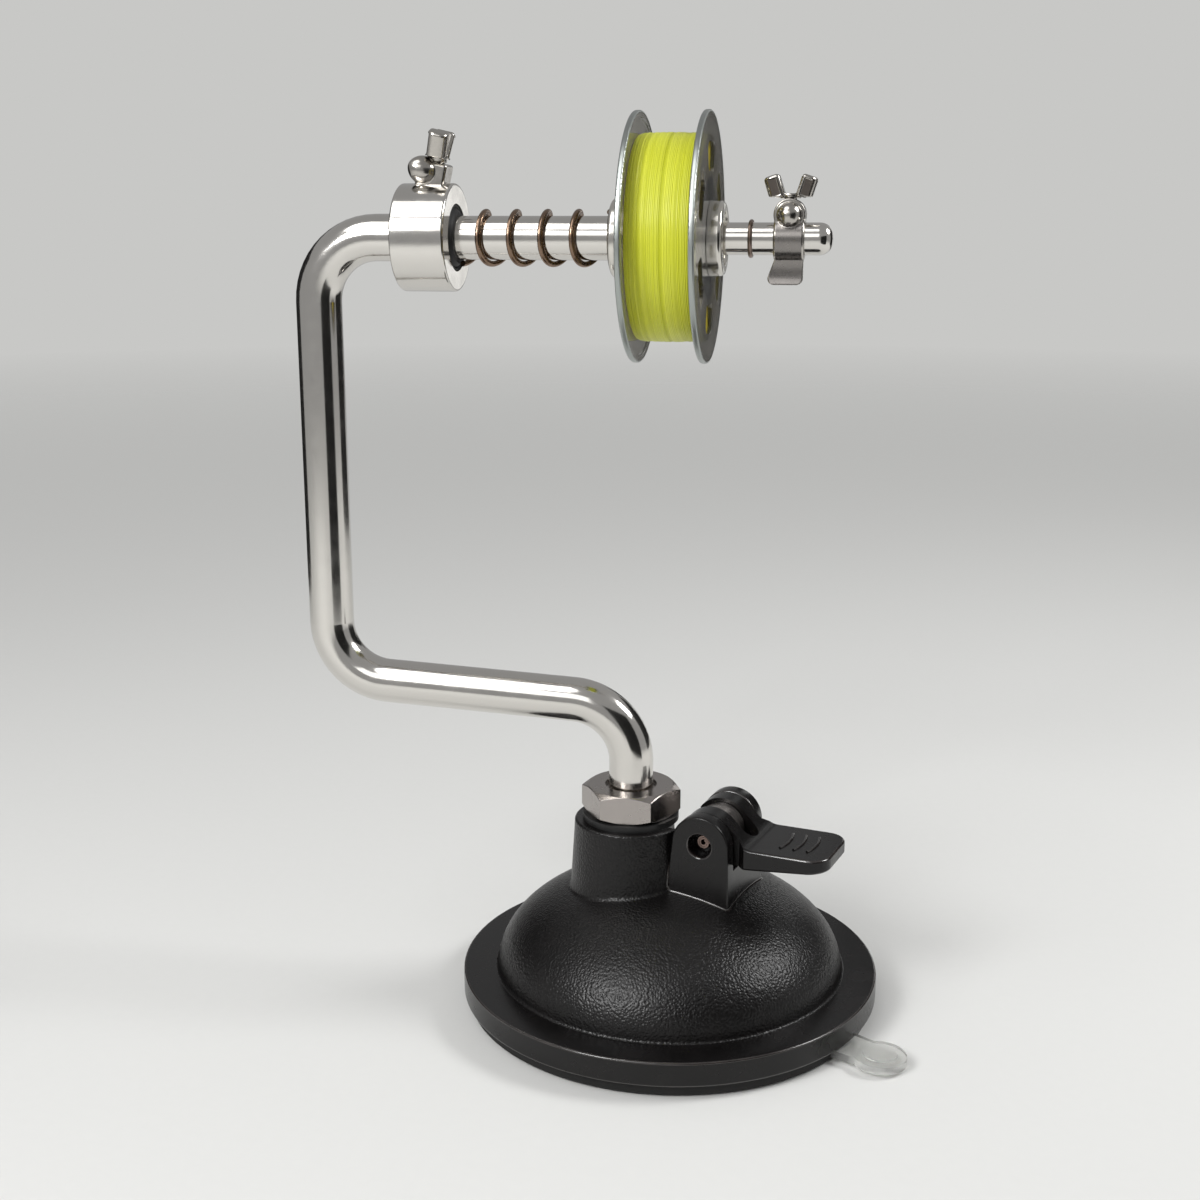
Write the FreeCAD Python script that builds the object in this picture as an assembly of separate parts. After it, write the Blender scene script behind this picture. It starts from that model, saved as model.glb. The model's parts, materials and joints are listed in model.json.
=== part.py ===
# Fishing line winder: a bent steel arm on a lever-operated suction base carries a sprung,
# turning spindle that holds a spool of line between two bushes.
#
# Millimetres. +Z is up, the arm and the spindle lie in the XZ plane, and the spindle's free end
# points along +X. The origin is the middle of the suction cup's underside.
import FreeCAD, Part
import math
import os

Vector = FreeCAD.Vector

AXIS_X = Vector(1, 0, 0)
AXIS_Y = Vector(0, 1, 0)
AXIS_Z = Vector(0, 0, 1)
ORIGIN = Vector(0, 0, 0)

# ---------------------------------------------------------------- clearances
turning_clearance = 0.05      # radial, where a shaft turns in its bore
sliding_clearance = 0.3       # between moulded pieces that slide past each other
fixed_clearance = 0.02        # radial, where one piece is fixed in another
end_float = 0.2               # along a shaft, beside a retaining ring
cut_margin = 1.0              # how far a cutting tool reaches past the face that it cuts

# ---------------------------------------------------------------- suction cup
cup_radius = 55.5
cup_lip_height = 3.4
cup_rubber_thickness = 4.0
cup_pull = 1.3                # how far the locked lever lifts the rubber's middle
cup_crown_radius = 32.0       # flat middle on the upper side
cup_shoulder_radius = 40.0    # where the rubber's slope meets the lip
cup_hollow_top_radius = 26.0
cup_hollow_foot_radius = 38.0
cup_edge_chamfer = 0.8

# ---------------------------------------------------------------- housing
flange_overhang = 1.5         # past the cup
flange_thickness = 6.6
flange_edge_round = 0.9
dome_foot_radius = 47.5
dome_rise = 26.0
dome_wall = 3.0
dome_foot_round = 0.8
skirt_bore_radius = 44.0

boss_x = -11.0
boss_top_z = 51.5
boss_top_radius = 15.3
boss_foot_radius = 17.0
boss_taper_foot_z = 25.0
boss_rim_round = 0.8
boss_foot_round = 1.4
boss_core_radius = 12.0
boss_core_foot_z = 28.0

# ---------------------------------------------------------------- lever and its bracket
lever_x = 13.0
lever_y = -0.2
lever_turn = -14.5            # degrees about +Z, from +X
lever_pin_z = 49.4
lever_pin_radius = 2.0
pin_strip_thickness = 0.42
pin_strip_gap = 0.1
pin_strip_turns = 2.2
pin_strip_points = 40
pin_end_proud = 1.6           # past the lever's sides, into the ears' holes

bracket_depth = 27.0
bracket_arch_radius = 8.0
bracket_side_flare = 0.6      # how much wider the free side is at the foot
bracket_back_flare = 3.0      # and the side towards the boss
bracket_foot_z = 22.0
bracket_edge_chamfer = 0.5
ear_thickness = 4.5
ear_hole_radius = 3.25
side_wall_thickness = 2.0

knuckle_radius = 7.8
cam_release_angle = 90.0      # degrees that the lever lifts
cam_floor_gap = 0.3
cam_steps = 12
eye_radius = 6.7
eye_width = 6.4
lever_slot_length = 11.5      # from the pin to the slot's round end
pad_length = 33.8             # from the pin to the thumb edge
pad_width = 22.0
pad_waist = 9.6               # from the pin to where the pad reaches its full width
pad_thickness = 3.6
pad_slope = -0.8              # degrees, down towards the thumb edge
pad_corner_radius = 5.5
pad_waist_chamfer = 2.0
pad_edge_round = 0.7
web_depth = 5.6               # lever's underside below the pin's axis, beside the knuckles
web_run_out = 3.0             # from the waist to where the pad's underside starts
heel_length = 2.4             # flat heel under the pin
heel_set_back = 2.6           # from the bracket's free side to where the heel starts to rise
sweep_start_angle = 52.0      # degrees round the knuckle, up from the lever's own line
sweep_length = 4.0            # from the waist to where the hollow sweep meets the pad
sweep_hold = 3.5              # how far the sweep keeps the direction of each of its ends
grip_mark_start = 20.6        # from the pin to the first grip mark
grip_mark_pitch = 3.7
grip_mark_count = 3
grip_mark_length = 11.0
grip_mark_radius = 0.4
grip_mark_bend_radius = 16.0

tongue_length = 8.0           # along the lever
tenon_radius = 3.0
lift_plate_radius = 26.0
lift_plate_thickness = 2.0

# ---------------------------------------------------------------- release tab
tab_direction = -26.5         # degrees about +Z, from +X
tab_root_width = 11.6
tab_neck_width = 9.6
tab_end_radius = 6.9
tab_reach = 9.0               # from the flange's edge to the disc's middle
tab_disc_radius = 4.4
tab_disc_rise = 0.5
tab_thickness = 2.2
tab_underside_z = 0.9
tab_tongue_depth = 5.5        # into the cup's rim
tab_fit = 0.05

# ---------------------------------------------------------------- arm
tube_radius = 6.0
tube_wall = 1.5
bend_radius = 16.5
arm_reach = 84.1              # from the boss's axis to the upright run's axis
arm_upper_length = 27.1       # from the upright run's axis to the tube's end
arm_lower_z = 87.0            # lower run's axis at the upright run
arm_lower_fall = 2.5          # degrees, down towards the boss
spindle_z = 206.0
tube_foot_drop = 3.0          # tube's foot below the boss's core
insert_radius = 9.0
foot_groove_depth = 0.6
foot_circlip_thickness = 1.0
foot_circlip_width = 1.9

washer_radius = 13.1
washer_thickness = 1.7
nut_across_flats = 23.6
nut_height = 7.8
nut_turn = 2.5                # degrees, of one corner from +X
nut_chamfer_angle = 30.0
nut_face_inset = 0.3          # flat ring face inside the hexagon's sides
nut_mouth_radius = 7.0
nut_mouth_depth = 1.0

# ---------------------------------------------------------------- collar on the arm's end
collar_length = 14.2
collar_radius = 13.6
collar_edge_round = 0.7
tube_seat_depth = 3.2
seal_radius = 8.4
seal_depth = 2.4
seal_proud = 0.6
seal_lip_round = 0.5
collar_bore_clearance = 0.4   # around the spindle, clear of it

screw_boss_set_back = 6.2     # from the collar's face to where the screw's axis leaves the collar
screw_lean = 13.0             # degrees, towards the free end
screw_boss_width = 7.4
screw_boss_depth = 7.0
screw_boss_height = 5.3
screw_boss_edge_round = 0.8
screw_boss_sink = 1.6         # how far its foot is let into the collar
nose_radius = 3.6
nose_length = 4.4             # from its rim to its tip
nose_shoulder_along = 0.62    # of its length
nose_shoulder_out = 0.72      # of its radius
nose_root_length = 2.6
nose_back_radius = 3.2
nose_tip_rise = 0.6           # tip's rise against the offsets below
nose_offset_x = -2.4
nose_offset_y = -2.2
nose_height = 2.7             # along the screw, above the collar

# ---------------------------------------------------------------- wing screws
brake_screw_radius = 2.0
brake_pad_thickness = 1.6
brake_pad_round = 4.0
brake_wing_turn = 96.0       # degrees about +Z at rest
stop_screw_radius = 1.5
stop_wing_turn = 0.0
wing_neck_radius = 2.5
brake_neck_height = 1.2       # lifts the wings over the ball nose beside them
stop_neck_height = 0.3
wing_gap = 2.2                # between the two wings at their foot
wing_width = 4.0
wing_thickness = 5.2
brake_wing_length = 7.4
stop_wing_length = 6.0
wing_lean = 18.0              # degrees, outwards
wing_web_height = 0.9
wing_edge_round = 0.9
wing_outer_round = 2.0        # along the outer edge
wing_pocket_depth = 0.4
wing_pocket_rim = 0.8

# ---------------------------------------------------------------- spindle
spindle_thick_radius = 5.5
spindle_thin_radius = 3.95
spindle_step_x = -4.0
spindle_end_x = 38.7
spindle_end_round = 3.2
rest_groove_width = 2.4       # turned groove under the stop where it rests
rest_groove_depth = 0.25
rest_groove_proud = 0.1       # how far it shows past the stop
journal_radius = 3.0
journal_tail = 2.3            # how far the journal reaches past its sleeve
journal_groove_depth = 0.5
journal_circlip_thickness = 0.8
journal_circlip_width = 1.2
sleeve_length = 9.0
circlip_gap = 50.0            # degrees that a retaining ring leaves open

spring_wire_radius = 0.75
spring_mean_radius = 6.5
spring_turns = 4.5
spring_lean_up = 0.18         # how far the loose coils lean, per length
spring_lean_across = 0.2

# ---------------------------------------------------------------- spool and bushes
spool_left_x = -10.5          # outer face of the left flange
spool_width = 18.9
spool_radius = 30.9
spool_flange_thickness = 1.1
spool_rim_thickness = 1.5
spool_rim_width = 0.9
spool_core_radius = 15.0
spool_bore_radius = 7.1
window_count = 6
window_inner_radius = 16.5
window_outer_radius = 23.5
window_angle = 34.0
window_corner_radius = 1.75
line_radius = 25.6
line_gap = 0.1                # between the wound line and the spool
line_shoulder_drop = 0.4      # winding's radius at the flanges, below its middle

left_bush_radius = 9.9
right_bush_radius = 9.2
left_bush_thickness = 5.8
right_bush_thickness = 3.8
bush_spigot_length = 2.6
bush_edge_round = 1.2
bush_recess_radius = 6.6
bush_recess_depth = 0.8

# ---------------------------------------------------------------- stop at the free end
ring_x = 18.6
ring_wire_radius = 0.55
ring_groove_depth = 0.35
wire_ring_gap = 10.0          # degrees
stop_left_x = 24.3
stop_width = 7.6
stop_radius = 5.2
stop_edge_round = 0.7
crown_radius = 3.9
crown_height = 5.8            # crown's axis above the spindle's axis
crown_depth = 6.4
stop_nose_radius = 3.0
stop_nose_reach = 3.6
paddle_top_width = 6.6
paddle_foot_width = 9.4
paddle_reach = 11.2           # below the spindle's axis
paddle_thickness = 3.0
paddle_root = 1.5             # how far it reaches into the stop's ring
paddle_set_back = 0.3         # from the stop's right face
paddle_corner_radius = 1.6
paddle_dish_radius = 9.0
paddle_dish_depth = 0.6

# ---------------------------------------------------------------- values that follow from those
flange_radius = cup_radius + flange_overhang
flange_bottom_z = cup_lip_height
flange_top_z = flange_bottom_z + flange_thickness
cup_crown_z = cup_pull + cup_rubber_thickness
tab_disc_distance = flange_radius + tab_reach
lift_plate_top_z = cup_crown_z + lift_plate_thickness

ear_inner = bracket_depth / 2 - ear_thickness
knuckle_outer = ear_inner - sliding_clearance
knuckle_inner = eye_width / 2 + sliding_clearance
bracket_floor_z = lever_pin_z - knuckle_radius - cam_floor_gap
side_wall_top_z = lever_pin_z - web_depth - cup_pull
lever_bore_radius = lever_pin_radius + turning_clearance

upright_x = boss_x - arm_reach
fall = math.tan(math.radians(arm_lower_fall))
arm_low_z = arm_lower_z - arm_reach * fall
tube_end_x = upright_x + arm_upper_length
collar_left_x = tube_end_x - tube_seat_depth
collar_face_x = collar_left_x + collar_length
tube_foot_z = boss_core_foot_z - tube_foot_drop
tube_bore_radius = tube_radius - tube_wall
washer_top_z = boss_top_z + washer_thickness
nut_top_z = washer_top_z + nut_height

seal_back_x = collar_face_x - seal_depth
seal_front_x = collar_face_x + seal_proud
spindle_shoulder_x = tube_end_x + end_float
sleeve_end_x = tube_end_x - sleeve_length
journal_end_x = sleeve_end_x - journal_tail
collar_top_z = spindle_z + collar_radius
screw_boss_x = collar_face_x - screw_boss_set_back
brake_lean_cosine = math.cos(math.radians(screw_lean))
brake_foot_rise = collar_radius - spindle_thick_radius - turning_clearance - brake_pad_round
brake_depth = brake_foot_rise / brake_lean_cosine + brake_pad_round
brake_shank_length = screw_boss_height + brake_depth - brake_pad_thickness

spool_right_x = spool_left_x + spool_width
left_bush_x = spool_left_x - left_bush_thickness
spigot_radius = spool_bore_radius - turning_clearance

stop_right_x = stop_left_x + stop_width
stop_middle_x = stop_left_x + stop_width / 2
stop_bore_radius = spindle_thin_radius + turning_clearance
crown_z = spindle_z + crown_height
crown_top_z = crown_z + crown_radius

lever_place = FreeCAD.Placement(
    Vector(lever_x, lever_y, lever_pin_z), FreeCAD.Rotation(AXIS_Z, lever_turn))
brake_place = FreeCAD.Placement(
    Vector(screw_boss_x, 0, collar_top_z), FreeCAD.Rotation(AXIS_Y, screw_lean))


# ---------------------------------------------------------------- shape helpers
def cylinder(radius, start, axis, length):
    return Part.makeCylinder(radius, length, start, axis)


def cylinder_x(radius, x_from, x_to, z=spindle_z):
    return cylinder(radius, Vector(x_from, 0, z), AXIS_X, x_to - x_from)


def cylinder_z(radius, x, y, z_from, z_to):
    return cylinder(radius, Vector(x, y, z_from), AXIS_Z, z_to - z_from)


def block(x_from, x_to, y_from, y_to, z_from, z_to):
    return Part.makeBox(x_to - x_from, y_to - y_from, z_to - z_from, Vector(x_from, y_from, z_from))


def ring_x_axis(outer, inner, x_from, x_to, z=spindle_z):
    tool = cylinder_x(inner, x_from - cut_margin, x_to + cut_margin, z)
    return cylinder_x(outer, x_from, x_to, z).cut(tool)


def ring_z_axis(outer, inner, x, y, z_from, z_to):
    tool = cylinder_z(inner, x, y, z_from - cut_margin, z_to + cut_margin)
    return cylinder_z(outer, x, y, z_from, z_to).cut(tool)


def face_of(points):
    return Part.Face(Part.makePolygon(points + [points[0]]))


def revolved_z(profile, x=0.0, y=0.0):
    # profile: radius and height pairs
    points = [Vector(radius, 0, height) for radius, height in profile]
    solid = face_of(points).revolve(ORIGIN, AXIS_Z, 360)
    solid.translate(Vector(x, y, 0))
    return solid


def revolved_spindle(profile):
    # profile: x and radius pairs, turned about the spindle's axis
    points = [Vector(x, 0, spindle_z + radius) for x, radius in profile]
    return face_of(points).revolve(Vector(0, 0, spindle_z), AXIS_X, 360)


def fused(first, *others):
    return first.multiFuse(list(others)).removeSplitter()


def edge_middle(edge):
    return edge.valueAt((edge.FirstParameter + edge.LastParameter) / 2)


def edges_where(shape, test):
    return [edge for edge in shape.Edges if test(edge)]


def circles_at(shape, radius, test):
    # full circular edges of one radius whose centre passes a test
    def is_one(edge):
        if edge.Degenerated:
            return False
        curve = edge.Curve
        if not isinstance(curve, Part.Circle):
            return False
        return abs(curve.Radius - radius) < 1e-3 and test(curve.Center)
    return edges_where(shape, is_one)


def at_place(shape, place):
    moved = shape.copy()
    moved.Placement = place.multiply(moved.Placement)
    return moved


def single_solid(shape):
    return max(shape.Solids, key=lambda solid: solid.Volume)


# ---------------------------------------------------------------- suction cup and release tab
def tab_outline(grow, z_from, height):
    # plan of the tab along +X from the cup's middle, larger all round by grow
    root = tab_root_width / 2 + grow
    neck = tab_neck_width / 2 + grow
    end = tab_end_radius + grow
    inner_x = cup_radius - tab_tongue_depth - grow
    outline = face_of([
        Vector(inner_x, -root, z_from),
        Vector(flange_radius, -root, z_from),
        Vector(tab_disc_distance, -neck, z_from),
        Vector(tab_disc_distance, neck, z_from),
        Vector(flange_radius, root, z_from),
        Vector(inner_x, root, z_from),
    ]).extrude(Vector(0, 0, height))
    disc = cylinder_z(end, tab_disc_distance, 0, z_from, z_from + height)
    return fused(outline, disc)


def turned_to_tab(shape):
    shape.rotate(ORIGIN, AXIS_Z, tab_direction)
    return shape


def release_tab():
    tab = tab_outline(0.0, tab_underside_z, tab_thickness)
    top_z = tab_underside_z + tab_thickness
    disc = cylinder_z(tab_disc_radius, tab_disc_distance, 0, top_z, top_z + tab_disc_rise)
    return turned_to_tab(fused(tab, disc))


def suction_cup():
    cup = revolved_z([
        (0, cup_pull),
        (cup_hollow_top_radius, cup_pull),
        (cup_hollow_foot_radius, 0),
        (cup_radius - cup_edge_chamfer, 0),
        (cup_radius, cup_edge_chamfer),
        (cup_radius, cup_lip_height),
        (cup_shoulder_radius, cup_lip_height),
        (cup_crown_radius, cup_crown_z),
        (0, cup_crown_z),
    ])
    pocket = turned_to_tab(tab_outline(tab_fit, tab_underside_z - tab_fit, tab_thickness + 2 * tab_fit))
    return cup.cut(pocket)


# ---------------------------------------------------------------- housing
def half_ball(radius, rise):
    # upper half of a flattened ball, standing on the flange
    side = Vector(radius, 0, flange_top_z)
    top = Vector(0, 0, flange_top_z + rise)
    centre = Vector(0, 0, flange_top_z)
    curve = Part.Ellipse(side, top, centre).toShape(0, math.pi / 2)
    outline = Part.Wire([curve, Part.makeLine(top, centre), Part.makeLine(centre, side)])
    return Part.Face(outline).revolve(ORIGIN, AXIS_Z, 360)


def dome_shell():
    slab = cylinder_z(flange_radius, 0, 0, flange_bottom_z, flange_top_z)
    shell = fused(slab, half_ball(dome_foot_radius, dome_rise))
    foot = circles_at(shell, dome_foot_radius, lambda centre: abs(centre.z - flange_top_z) < 0.01)
    shell = shell.makeFillet(dome_foot_round, foot)
    rims = circles_at(shell, flange_radius, lambda centre: True)
    return shell.makeFillet(flange_edge_round, rims)


def boss_cone():
    height = boss_top_z - boss_taper_foot_z
    start = Vector(boss_x, 0, boss_taper_foot_z)
    cone = Part.makeCone(boss_foot_radius, boss_top_radius, height, start, AXIS_Z)
    rim = circles_at(cone, boss_top_radius, lambda centre: True)
    return cone.makeFillet(boss_rim_round, rim)


def meets_boss(edge):
    # where the boss stands on the dome
    middle = edge_middle(edge)
    outward = math.hypot(middle.x, middle.y) / dome_foot_radius
    upward = (middle.z - flange_top_z) / dome_rise
    from_boss = math.hypot(middle.x - boss_x, middle.y)
    return abs(math.hypot(outward, upward) - 1) < 1e-3 and boss_top_radius < from_boss < boss_foot_radius


def bracket_profile_solid():
    # arched block in the lever's own frame: x along the lever, y across, z up from the pin
    arch = bracket_arch_radius
    foot = bracket_foot_z - lever_pin_z
    half = bracket_depth / 2
    legs = face_of([
        Vector(-arch, -half, 0),
        Vector(arch, -half, 0),
        Vector(arch + bracket_side_flare, -half, foot),
        Vector(-arch - bracket_back_flare, -half, foot),
    ]).extrude(Vector(0, bracket_depth, 0))
    round_top = cylinder(arch, Vector(0, -half, 0), AXIS_Y, bracket_depth)
    body = fused(legs, round_top)

    def is_outline(edge):
        middle = edge_middle(edge)
        return abs(abs(middle.y) - half) < 1e-3 and middle.z > foot + 1e-3

    return body.makeChamfer(bracket_edge_chamfer, edges_where(body, is_outline))


def bracket_slot():
    # the space for the lever's knuckles, open above and towards the boss
    floor = bracket_floor_z - lever_pin_z
    wall_top = side_wall_top_z - lever_pin_z
    wall_inner = bracket_arch_radius - side_wall_thickness
    far = 2 * bracket_arch_radius
    deep = block(-far, wall_inner, -ear_inner, ear_inner, floor, far)
    over_wall = block(-far, far, -ear_inner, ear_inner, wall_top, far)
    return fused(deep, over_wall)


def tongue_passage():
    half_x = tongue_length / 2 + sliding_clearance
    half_y = eye_width / 2 + sliding_clearance
    return block(-half_x, half_x, -half_y, half_y, flange_bottom_z - lever_pin_z, 0)


def ear_holes():
    reach = bracket_depth / 2 + cut_margin
    return cylinder(ear_hole_radius, Vector(0, -reach, 0), AXIS_Y, 2 * reach)


def base_housing():
    domed = fused(dome_shell(), boss_cone())
    domed = domed.makeFillet(boss_foot_round, edges_where(domed, meets_boss))
    outer = fused(domed, at_place(bracket_profile_solid(), lever_place))
    inner_ball = half_ball(dome_foot_radius - dome_wall, dome_rise - dome_wall)
    skirt_bore = cylinder_z(skirt_bore_radius, 0, 0, flange_bottom_z - cut_margin, flange_top_z)
    hollow = inner_ball.common(cylinder_z(skirt_bore_radius, 0, 0, flange_bottom_z, boss_top_z))
    outer = outer.cut(hollow).cut(skirt_bore)
    core = cylinder_z(boss_core_radius, boss_x, 0, boss_core_foot_z, boss_top_z - boss_rim_round)
    housing = fused(outer, core)
    insert_bore = cylinder_z(insert_radius + fixed_clearance, boss_x, 0,
                             boss_core_foot_z - cut_margin, boss_top_z + cut_margin)
    tools = [bracket_slot(), tongue_passage(), ear_holes()]
    cut_body = housing.cut(insert_bore)
    for tool in tools:
        cut_body = cut_body.cut(at_place(tool, lever_place))
    return single_solid(cut_body)


def boss_insert():
    bore = tube_radius + turning_clearance
    return ring_z_axis(insert_radius, bore, boss_x, 0, boss_core_foot_z, boss_top_z)


# ---------------------------------------------------------------- lift mechanism
def lift_plate():
    plate = cylinder_z(lift_plate_radius, 0, 0, cup_crown_z, lift_plate_top_z)
    hole = cylinder_z(tenon_radius + fixed_clearance, lever_x, lever_y,
                      cup_crown_z - cut_margin, lift_plate_top_z + cut_margin)
    return plate.cut(hole)


def lift_stem():
    half_x = tongue_length / 2
    half_y = eye_width / 2
    shoulder = lift_plate_top_z - lever_pin_z
    tongue = block(-half_x, half_x, -half_y, half_y, shoulder, 0)
    eye = cylinder(eye_radius, Vector(0, -half_y, 0), AXIS_Y, eye_width)
    tenon = cylinder_z(tenon_radius, 0, 0, cup_crown_z - lever_pin_z, shoulder)
    start = Vector(0, -half_y - cut_margin, 0)
    bore = cylinder(lever_pin_radius + fixed_clearance, start, AXIS_Y, eye_width + 2 * cut_margin)
    return at_place(fused(tongue, eye, tenon).cut(bore), lever_place)


def spiral_edge(outer_radius, pitch):
    points = []
    for step in range(pin_strip_points + 1):
        turn = pin_strip_turns * step / pin_strip_points
        radius = outer_radius - pitch * turn
        angle = 2 * math.pi * turn
        points.append(Vector(radius * math.cos(angle), 0, radius * math.sin(angle)))
    curve = Part.BSplineCurve()
    curve.interpolate(points)
    return curve.toShape()


def lever_pin():
    # coiled spring pin: one steel strip rolled up
    pitch = pin_strip_thickness + pin_strip_gap
    outer = spiral_edge(lever_pin_radius, pitch)
    inner = spiral_edge(lever_pin_radius - pin_strip_thickness, pitch)
    start = Part.makeLine(outer.Vertexes[0].Point, inner.Vertexes[0].Point)
    end = Part.makeLine(outer.Vertexes[-1].Point, inner.Vertexes[-1].Point)
    section = Part.Face(Part.Wire(Part.__sortEdges__([outer, end, inner, start])))
    half_length = knuckle_outer + pin_end_proud
    section.translate(Vector(0, -half_length, 0))
    return at_place(section.extrude(Vector(0, 2 * half_length, 0)), lever_place)


def cam_point(radius, degrees):
    angle = math.radians(degrees)
    return Vector(radius * math.cos(angle), 0, radius * math.sin(angle))


def knuckle_profile():
    # round on top; the side towards the boss is cut flat, and from there the radius grows
    # evenly round to the underside, so that turning the lever lets the stem sink evenly
    released = knuckle_radius - cup_pull
    bottom = 270.0
    flat_angle = bottom - cam_release_angle
    meet = flat_angle - math.degrees(math.acos(released / knuckle_radius))
    spiral = []
    for step in range(cam_steps + 1):
        share = step / cam_steps
        spiral.append(cam_point(released + cup_pull * share, flat_angle + cam_release_angle * share))
    curve = Part.BSplineCurve()
    curve.interpolate(spiral)
    arc_end = cam_point(knuckle_radius, meet)
    arc = Part.Arc(cam_point(knuckle_radius, 0), cam_point(knuckle_radius, meet / 2), arc_end)
    flat = Part.makeLine(arc_end, spiral[0])
    to_centre = Part.makeLine(spiral[-1], ORIGIN)
    from_centre = Part.makeLine(ORIGIN, cam_point(knuckle_radius, 0))
    return Part.Face(Part.Wire([arc.toShape(), flat, curve.toShape(), to_centre, from_centre]))


def lever_side_profile():
    # the lever seen from its side: from the knuckles' top in a hollow sweep down to the pad
    top_start = cam_point(knuckle_radius, sweep_start_angle)
    pad_top_start = Vector(pad_waist + sweep_length, 0, 0)
    drop = math.tan(math.radians(pad_slope))
    pad_top_end = Vector(pad_length, 0, (pad_top_start.x - pad_length) * drop)
    pad_low_end = Vector(pad_length, 0, pad_top_end.z - pad_thickness)
    web_end = Vector(pad_waist + web_run_out, 0, -web_depth)
    web_start = Vector(bracket_arch_radius - heel_set_back, 0, -web_depth)
    heel_end = Vector(heel_length, 0, -knuckle_radius)
    heel_start = Vector(0, 0, -knuckle_radius)
    leaving = cam_point(sweep_hold, sweep_start_angle - 90)
    sweep = Part.BezierCurve()
    sweep.setPoles([
        top_start,
        top_start + leaving,
        pad_top_start + Vector(-sweep_hold, 0, sweep_hold * drop),
        pad_top_start,
    ])
    edges = [
        sweep.toShape(),
        Part.makeLine(pad_top_start, pad_top_end),
        Part.makeLine(pad_top_end, pad_low_end),
        Part.makeLine(pad_low_end, web_end),
        Part.makeLine(web_end, web_start),
        Part.makeLine(web_start, heel_end),
        Part.makeLine(heel_end, heel_start),
        Part.makeLine(heel_start, ORIGIN),
        Part.makeLine(ORIGIN, top_start),
    ]
    return Part.Face(Part.Wire(edges))


def across(face, half_width):
    solid = face.copy()
    solid.translate(Vector(0, -half_width, 0))
    return solid.extrude(Vector(0, 2 * half_width, 0))


def thumb_pad():
    # the wide part of the lever, past the bracket's ears, with rounded corners and rims
    tall = 4 * knuckle_radius
    low_z = -2 * knuckle_radius
    plan = block(pad_waist, pad_length, -pad_width / 2, pad_width / 2, low_z, low_z + tall)

    def is_upright(edge):
        return abs(edge.tangentAt(edge.FirstParameter).z) > 0.99

    def is_thumb_corner(edge):
        return is_upright(edge) and edge_middle(edge).x > pad_length - 1e-3

    def is_rim(edge):
        past_waist = edge_middle(edge).x > pad_waist + pad_waist_chamfer
        return not is_upright(edge) and past_waist and on_side(edge)

    def on_side(edge):
        middle = edge_middle(edge)
        return abs(middle.y) > pad_width / 2 - pad_corner_radius or middle.x > pad_length - 1e-3

    def is_waist_corner(edge):
        return is_upright(edge) and edge_middle(edge).x < pad_waist + 1e-3

    plan = plan.makeFillet(pad_corner_radius, edges_where(plan, is_thumb_corner))
    plan = plan.makeChamfer(pad_waist_chamfer, edges_where(plan, is_waist_corner))
    pad = across(lever_side_profile(), pad_width).common(plan)
    return pad.makeFillet(pad_edge_round, edges_where(pad, is_rim))


def lever_slot():
    # room for the stem's eye, closed by a round end towards the pad
    tall = 4 * knuckle_radius
    low = Vector(lever_slot_length - knuckle_inner, 0, -2 * knuckle_radius)
    round_end = cylinder(knuckle_inner, low, AXIS_Z, tall)
    straight = block(-2 * knuckle_radius, low.x, -knuckle_inner, knuckle_inner, low.z, low.z + tall)
    return fused(straight, round_end)


def grip_mark(distance):
    # one raised, slightly bent bar across the pad
    half_angle = math.degrees(grip_mark_length / 2 / grip_mark_bend_radius)
    drop = (distance - pad_waist - sweep_length) * math.tan(math.radians(pad_slope))
    centre = Vector(distance - grip_mark_bend_radius, 0, -drop)
    path = Part.Edge(Part.Circle(centre, AXIS_Z, grip_mark_bend_radius),
                     math.radians(-half_angle), math.radians(half_angle))
    start = path.valueAt(path.FirstParameter)
    section = Part.Wire(Part.makeCircle(grip_mark_radius, start, path.tangentAt(path.FirstParameter)))
    return Part.Wire(path).makePipeShell([section], True, True)


def cam_lever():
    before_pad = block(-pad_length, pad_waist + pad_waist_chamfer, -pad_width, pad_width,
                       -pad_length, pad_length)
    body = fused(
        across(lever_side_profile(), knuckle_outer).common(before_pad),
        across(knuckle_profile(), knuckle_outer),
        thumb_pad())
    for number in range(grip_mark_count):
        body = body.fuse(grip_mark(grip_mark_start + number * grip_mark_pitch))
    bore = cylinder(lever_bore_radius, Vector(0, -pad_width, 0), AXIS_Y, 2 * pad_width)
    return single_solid(at_place(body.cut(lever_slot()).cut(bore), lever_place))


# ---------------------------------------------------------------- arm
def bent_wire(points, radius):
    # straight runs joined by arcs of one radius
    edges = []
    start = points[0]
    for index in range(1, len(points) - 1):
        corner = points[index]
        into = (corner - points[index - 1]).normalize()
        out = (points[index + 1] - corner).normalize()
        half_turn = into.getAngle(out) / 2
        trim = radius * math.tan(half_turn)
        arc_start = corner - into * trim
        arc_end = corner + out * trim
        bisector = (out - into).normalize()
        centre = corner + bisector * (radius / math.cos(half_turn))
        arc_middle = centre - bisector * radius
        edges.append(Part.makeLine(start, arc_start))
        edges.append(Part.Arc(arc_start, arc_middle, arc_end).toShape())
        start = arc_end
    edges.append(Part.makeLine(start, points[-1]))
    return Part.Wire(edges)


def arm_route():
    return bent_wire([
        Vector(boss_x, 0, tube_foot_z),
        Vector(boss_x, 0, arm_low_z),
        Vector(upright_x, 0, arm_lower_z),
        Vector(upright_x, 0, spindle_z),
        Vector(tube_end_x, 0, spindle_z),
    ], bend_radius)


def swept_round(route, radius):
    first = route.Edges[0]
    start = first.valueAt(first.FirstParameter)
    section = Part.Wire(Part.makeCircle(radius, start, first.tangentAt(first.FirstParameter)))
    return route.makePipeShell([section], True, False)


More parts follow.
